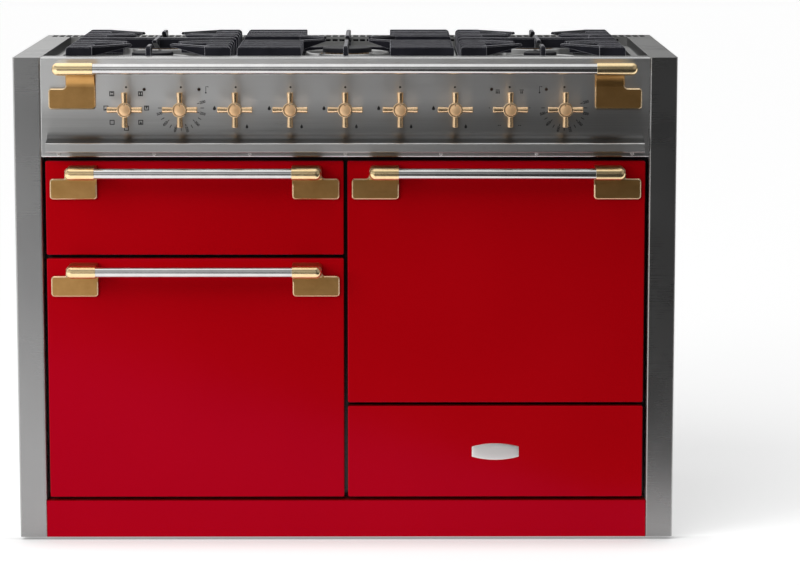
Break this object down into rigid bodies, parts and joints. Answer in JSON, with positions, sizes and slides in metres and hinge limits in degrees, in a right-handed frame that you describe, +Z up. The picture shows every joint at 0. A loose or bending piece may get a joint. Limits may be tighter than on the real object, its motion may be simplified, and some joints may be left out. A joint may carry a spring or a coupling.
{
  "type": "dual fuel range cooker",
  "caption": "Free-standing range cooker with a gas hob under cast-iron grates, drop-door ovens, a glide-out broiler, a storage drawer, cross knobs and a handrail",
  "frame": {"origin": "On the floor, under the middle of the overall box.", "axes": "+X to the right as seen from the front, +Y to the back, +Z up."},
  "size_m": [1.213, 0.7, 0.914],
  "materials": {
    "stainless_brushed": "brushed",
    "polished_steel": "polished",
    "red_enamel": "gloss",
    "brass": "satin",
    "knob_brass": "polished",
    "cast_iron": "matt",
    "black_enamel": "gloss",
    "galvanised_steel": "satin",
    "burner_alloy": "satin",
    "valve_brass": "satin",
    "switch_plastic": "matt",
    "lamp_lens": "gloss",
    "chromed_wire": "polished",
    "element_sheath": "satin",
    "motor_paint": "satin",
    "fan_steel": "satin",
    "seal_rubber": "matt"
  },
  "bodies": {
    "cooker_body": {"chassis": "galvanised_steel", "side_panel_left": "stainless_brushed", "side_panel_right": "stainless_brushed", "rear_panel": "galvanised_steel", "front_frame": "black_enamel", "kick_panel": "red_enamel", "levelling_feet": "polished_steel", "terminal_box": "galvanised_steel", "hob_top": "stainless_brushed", "rear_vent_trim": "stainless_brushed", "burner_heads": "burner_alloy", "burner_caps": "black_enamel", "grate_left": "cast_iron", "grate_centre": "cast_iron", "grate_right": "cast_iron", "control_panel": "stainless_brushed", "indicator_lamps": "lamp_lens", "handrail_bar": "polished_steel", "handrail_brackets": "brass", "gas_pipework": "valve_brass", "oven_switches": "switch_plastic", "left_oven_liner": "black_enamel", "right_oven_liner": "black_enamel", "broiler_liner": "black_enamel", "drawer_housing": "galvanised_steel", "heating_elements": "element_sheath", "fan_covers": "black_enamel", "fan_motors": "motor_paint", "oven_racks": "chromed_wire", "oven_seals": "seal_rubber", "hinge_brackets": "galvanised_steel", "drawer_runners": "galvanised_steel"},
    "left_door": {"left_door_skin": "red_enamel", "left_door_inner": "black_enamel", "left_door_handle": "brass"},
    "right_door": {"right_door_skin": "red_enamel", "right_door_inner": "black_enamel", "right_door_handle": "brass"},
    "broiler_drawer": {"broiler_front": "red_enamel", "broiler_carriage": "galvanised_steel", "broiler_pan": "black_enamel", "broiler_handle": "brass"},
    "storage_drawer": {"drawer_front": "red_enamel", "drawer_box": "galvanised_steel"},
    "left_fan": {"left_fan": "fan_steel"},
    "right_fan": {"right_fan": "fan_steel"},
    "knob_1": {"knob_1": "knob_brass"},
    "knob_2": {"knob_2": "knob_brass"},
    "knob_3": {"knob_3": "knob_brass"},
    "knob_4": {"knob_4": "knob_brass"},
    "knob_5": {"knob_5": "knob_brass"},
    "knob_6": {"knob_6": "knob_brass"},
    "knob_7": {"knob_7": "knob_brass"},
    "knob_8": {"knob_8": "knob_brass"},
    "knob_9": {"knob_9": "knob_brass"},
    "tap_3": {"tap_cone_3": "valve_brass"},
    "tap_4": {"tap_cone_4": "valve_brass"},
    "tap_5": {"tap_cone_5": "valve_brass"},
    "tap_6": {"tap_cone_6": "valve_brass"},
    "tap_7": {"tap_cone_7": "valve_brass"}
  },
  "joints": [
    {"name": "left_door_hinge", "type": "hinge", "parent": "cooker_body", "child": "left_door", "pos_m": [-0.2765, -0.269, 0.0995], "axis": [1, 0, 0], "range_deg": [0, 90], "stiffness_Nm_per_rad": 8, "springref_deg": -17.19},
    {"name": "right_door_hinge", "type": "hinge", "parent": "cooker_body", "child": "right_door", "pos_m": [0.2765, -0.269, 0.2775], "axis": [1, 0, 0], "range_deg": [0, 90], "stiffness_Nm_per_rad": 8, "springref_deg": -17.19},
    {"name": "broiler_slide", "type": "slide", "parent": "cooker_body", "child": "broiler_drawer", "axis": [0, -1, 0], "range_m": [0, 0.28]},
    {"name": "drawer_slide", "type": "slide", "parent": "cooker_body", "child": "storage_drawer", "axis": [0, -1, 0], "range_m": [0, 0.3]},
    {"name": "left_fan_spin", "type": "hinge", "parent": "cooker_body", "child": "left_fan", "pos_m": [-0.2765, 0.182, 0.3055], "axis": [0, 1, 0], "continuous": true},
    {"name": "right_fan_spin", "type": "hinge", "parent": "cooker_body", "child": "right_fan", "pos_m": [0.2765, 0.182, 0.4845], "axis": [0, 1, 0], "continuous": true},
    {"name": "knob_1_turn", "type": "hinge", "parent": "cooker_body", "child": "knob_1", "pos_m": [-0.4, -0.285, 0.806], "axis": [0, -1, 0], "continuous": true},
    {"name": "knob_2_turn", "type": "hinge", "parent": "cooker_body", "child": "knob_2", "pos_m": [-0.3, -0.285, 0.806], "axis": [0, -1, 0], "range_deg": [-270, 0]},
    {"name": "knob_8_turn", "type": "hinge", "parent": "cooker_body", "child": "knob_8", "pos_m": [0.3, -0.285, 0.806], "axis": [0, -1, 0], "range_deg": [-150, 150]},
    {"name": "knob_9_turn", "type": "hinge", "parent": "cooker_body", "child": "knob_9", "pos_m": [0.4, -0.285, 0.806], "axis": [0, -1, 0], "range_deg": [-270, 0]},
    {"name": "tap_3_turn", "type": "hinge", "parent": "cooker_body", "child": "tap_3", "pos_m": [-0.2, -0.285, 0.806], "axis": [0, -1, 0], "range_deg": [0, 210]},
    {"name": "knob_3_push", "type": "slide", "parent": "tap_3", "child": "knob_3", "axis": [0, 1, 0], "range_m": [0, 0.003], "stiffness_N_per_m": 600, "springref_m": -0.002},
    {"name": "tap_4_turn", "type": "hinge", "parent": "cooker_body", "child": "tap_4", "pos_m": [-0.1, -0.285, 0.806], "axis": [0, -1, 0], "range_deg": [0, 210]},
    {"name": "knob_4_push", "type": "slide", "parent": "tap_4", "child": "knob_4", "axis": [0, 1, 0], "range_m": [0, 0.003], "stiffness_N_per_m": 600, "springref_m": -0.002},
    {"name": "tap_5_turn", "type": "hinge", "parent": "cooker_body", "child": "tap_5", "pos_m": [0, -0.285, 0.806], "axis": [0, -1, 0], "range_deg": [0, 210]},
    {"name": "knob_5_push", "type": "slide", "parent": "tap_5", "child": "knob_5", "axis": [0, 1, 0], "range_m": [0, 0.003], "stiffness_N_per_m": 600, "springref_m": -0.002},
    {"name": "tap_6_turn", "type": "hinge", "parent": "cooker_body", "child": "tap_6", "pos_m": [0.1, -0.285, 0.806], "axis": [0, -1, 0], "range_deg": [0, 210]},
    {"name": "knob_6_push", "type": "slide", "parent": "tap_6", "child": "knob_6", "axis": [0, 1, 0], "range_m": [0, 0.003], "stiffness_N_per_m": 600, "springref_m": -0.002},
    {"name": "tap_7_turn", "type": "hinge", "parent": "cooker_body", "child": "tap_7", "pos_m": [0.2, -0.285, 0.806], "axis": [0, -1, 0], "range_deg": [0, 210]},
    {"name": "knob_7_push", "type": "slide", "parent": "tap_7", "child": "knob_7", "axis": [0, 1, 0], "range_m": [0, 0.003], "stiffness_N_per_m": 600, "springref_m": -0.002}
  ]
}
